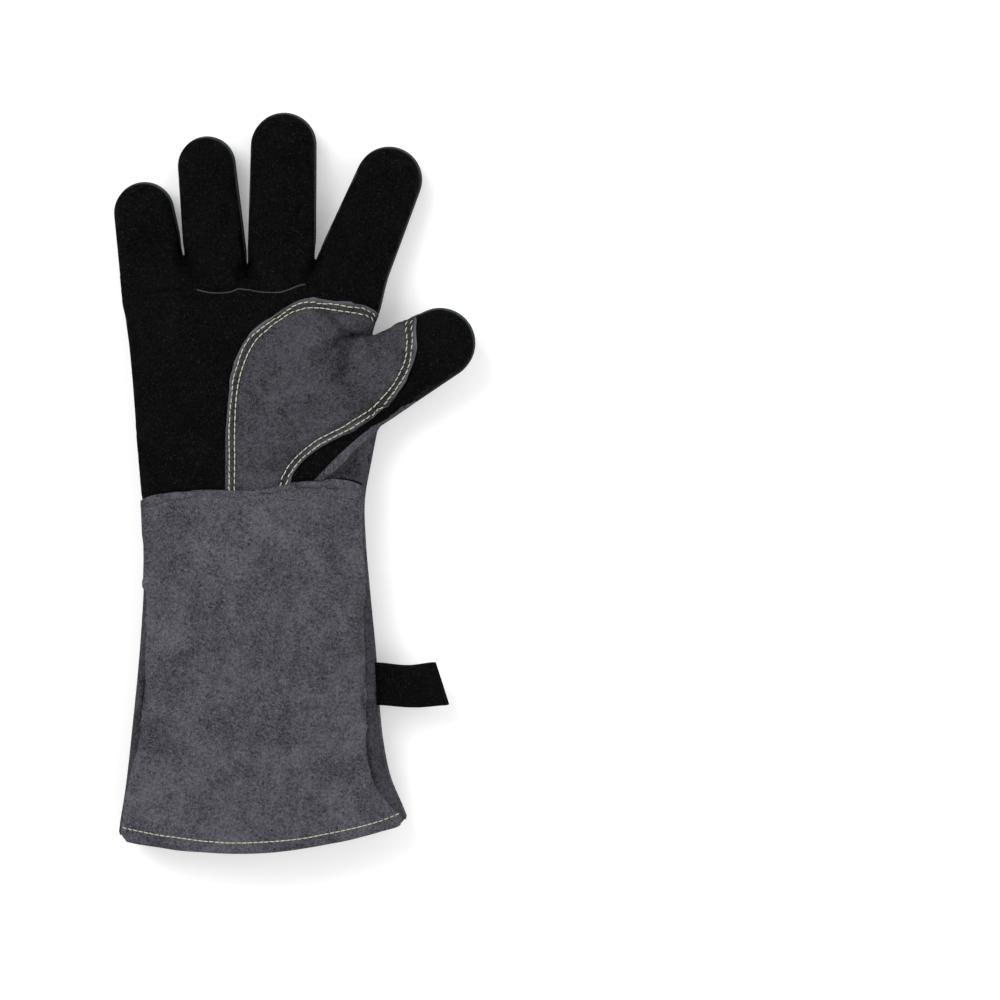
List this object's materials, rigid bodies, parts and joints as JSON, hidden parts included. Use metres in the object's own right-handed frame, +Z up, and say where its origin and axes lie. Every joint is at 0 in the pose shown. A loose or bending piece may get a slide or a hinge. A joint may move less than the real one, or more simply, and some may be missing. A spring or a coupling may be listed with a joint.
{
  "type": "heat resistant glove",
  "caption": "Long gauntlet heat resistant glove of split leather with a lined hand, flared cuff, palm patch and hanging loop, lying palm up.",
  "frame": {"origin": "on the ground, under the middle of the glove's box", "axes": "+Y along the glove towards the fingertips, +Z up out of the palm, +X towards the thumb side"},
  "size_m": [0.1984, 0.4062, 0.0465],
  "materials": {
    "black_suede": "napped split leather, black",
    "grey_suede": "napped split leather, dark grey, mottled",
    "welt_leather": "thin leather strip, blue grey",
    "lining_fabric": "brushed cotton fleece",
    "thread": "twisted heat resistant thread, pale yellow"
  },
  "bodies": {
    "cuff": {"cuff_back": "grey_suede", "cuff_front": "grey_suede", "cuff_hem_facing": "grey_suede", "cuff_lining": "lining_fabric", "cuff_side_welts": "grey_suede", "hem_stitching": "thread"},
    "hand": {"hand_back": "black_suede", "hand_front": "black_suede", "hand_lining": "lining_fabric", "hand_welt": "welt_leather", "finger_base_welt": "welt_leather", "palm_patch": "grey_suede", "palm_patch_stitching": "thread"},
    "hanging_loop": {"hanging_loop": "black_suede"},
    "little_base": {"little_base_back": "black_suede", "little_base_front": "black_suede", "little_base_lining": "lining_fabric", "little_base_welt": "welt_leather"},
    "little_tip": {"little_tip_back": "black_suede", "little_tip_front": "black_suede", "little_tip_lining": "lining_fabric", "little_tip_welt": "welt_leather"},
    "ring_base": {"ring_base_back": "black_suede", "ring_base_front": "black_suede", "ring_base_lining": "lining_fabric", "ring_base_welt": "welt_leather"},
    "ring_tip": {"ring_tip_back": "black_suede", "ring_tip_front": "black_suede", "ring_tip_lining": "lining_fabric", "ring_tip_welt": "welt_leather"},
    "middle_base": {"middle_base_back": "black_suede", "middle_base_front": "black_suede", "middle_base_lining": "lining_fabric", "middle_base_welt": "welt_leather"},
    "middle_tip": {"middle_tip_back": "black_suede", "middle_tip_front": "black_suede", "middle_tip_lining": "lining_fabric", "middle_tip_welt": "welt_leather"},
    "index_base": {"index_base_back": "black_suede", "index_base_front": "black_suede", "index_base_lining": "lining_fabric", "index_base_welt": "welt_leather"},
    "index_tip": {"index_tip_back": "black_suede", "index_tip_front": "black_suede", "index_tip_lining": "lining_fabric", "index_tip_welt": "welt_leather"},
    "thumb_base": {"thumb_base_back": "grey_suede", "thumb_base_front": "black_suede", "thumb_base_lining": "lining_fabric", "thumb_base_welt": "welt_leather", "thumb_patch": "grey_suede", "thumb_patch_stitching": "thread"},
    "thumb_tip": {"thumb_tip_back": "grey_suede", "thumb_tip_front": "black_suede", "thumb_tip_lining": "lining_fabric", "thumb_tip_welt": "welt_leather"}
  },
  "joints": [
    {"name": "wrist_bend", "type": "hinge", "parent": "cuff", "child": "hand", "pos_m": [-0.0218, -0.004, 0.019], "axis": [1, 0, 0], "range_deg": [-20, 35]},
    {"name": "loop_swing", "type": "hinge", "parent": "cuff", "child": "hanging_loop", "pos_m": [0.05, -0.1105, 0.023], "axis": [0, -1, 0], "range_deg": [0, 60]},
    {"name": "little_knuckle", "type": "hinge", "parent": "hand", "child": "little_base", "pos_m": [-0.07642, 0.10377, 0.028], "axis": [0.9903, 0.1392, 0], "range_deg": [0, 75]},
    {"name": "little_middle_joint", "type": "hinge", "parent": "little_base", "child": "little_tip", "pos_m": [-0.08047, 0.13257, 0.028], "axis": [0.9903, 0.1392, 0], "range_deg": [0, 75]},
    {"name": "ring_knuckle", "type": "hinge", "parent": "hand", "child": "ring_base", "pos_m": [-0.04216, 0.1077, 0.028], "axis": [0.9962, 0.0872, 0], "range_deg": [0, 75]},
    {"name": "ring_middle_joint", "type": "hinge", "parent": "ring_base", "child": "ring_tip", "pos_m": [-0.04554, 0.14634, 0.028], "axis": [0.9962, 0.0872, 0], "range_deg": [0, 75]},
    {"name": "middle_knuckle", "type": "hinge", "parent": "hand", "child": "middle_base", "pos_m": [-0.00773, 0.1087, 0.028], "axis": [0.9997, -0.0262, 0], "range_deg": [0, 75]},
    {"name": "middle_middle_joint", "type": "hinge", "parent": "middle_base", "child": "middle_tip", "pos_m": [-0.00656, 0.15353, 0.028], "axis": [0.9997, -0.0262, 0], "range_deg": [0, 75]},
    {"name": "index_knuckle", "type": "hinge", "parent": "hand", "child": "index_base", "pos_m": [0.02934, 0.10139, 0.028], "axis": [0.9426, -0.3338, 0], "range_deg": [0, 75]},
    {"name": "index_middle_joint", "type": "hinge", "parent": "index_base", "child": "index_tip", "pos_m": [0.04312, 0.1403, 0.028], "axis": [0.9426, -0.3338, 0], "range_deg": [0, 75]},
    {"name": "thumb_knuckle", "type": "hinge", "parent": "hand", "child": "thumb_base", "pos_m": [0.0545, 0.0615, 0.0402], "axis": [0.5225, -0.8526, 0], "range_deg": [0, 45]},
    {"name": "thumb_middle_joint", "type": "hinge", "parent": "thumb_base", "child": "thumb_tip", "pos_m": [0.0735, 0.07314, 0.038], "axis": [0.5225, -0.8526, 0], "range_deg": [0, 45]}
  ],
  "couplings": [
    {"joint": "little_middle_joint", "follows": "little_knuckle", "ratio": 1},
    {"joint": "ring_middle_joint", "follows": "ring_knuckle", "ratio": 1},
    {"joint": "middle_middle_joint", "follows": "middle_knuckle", "ratio": 1},
    {"joint": "index_middle_joint", "follows": "index_knuckle", "ratio": 1},
    {"joint": "thumb_middle_joint", "follows": "thumb_knuckle", "ratio": 1}
  ]
}
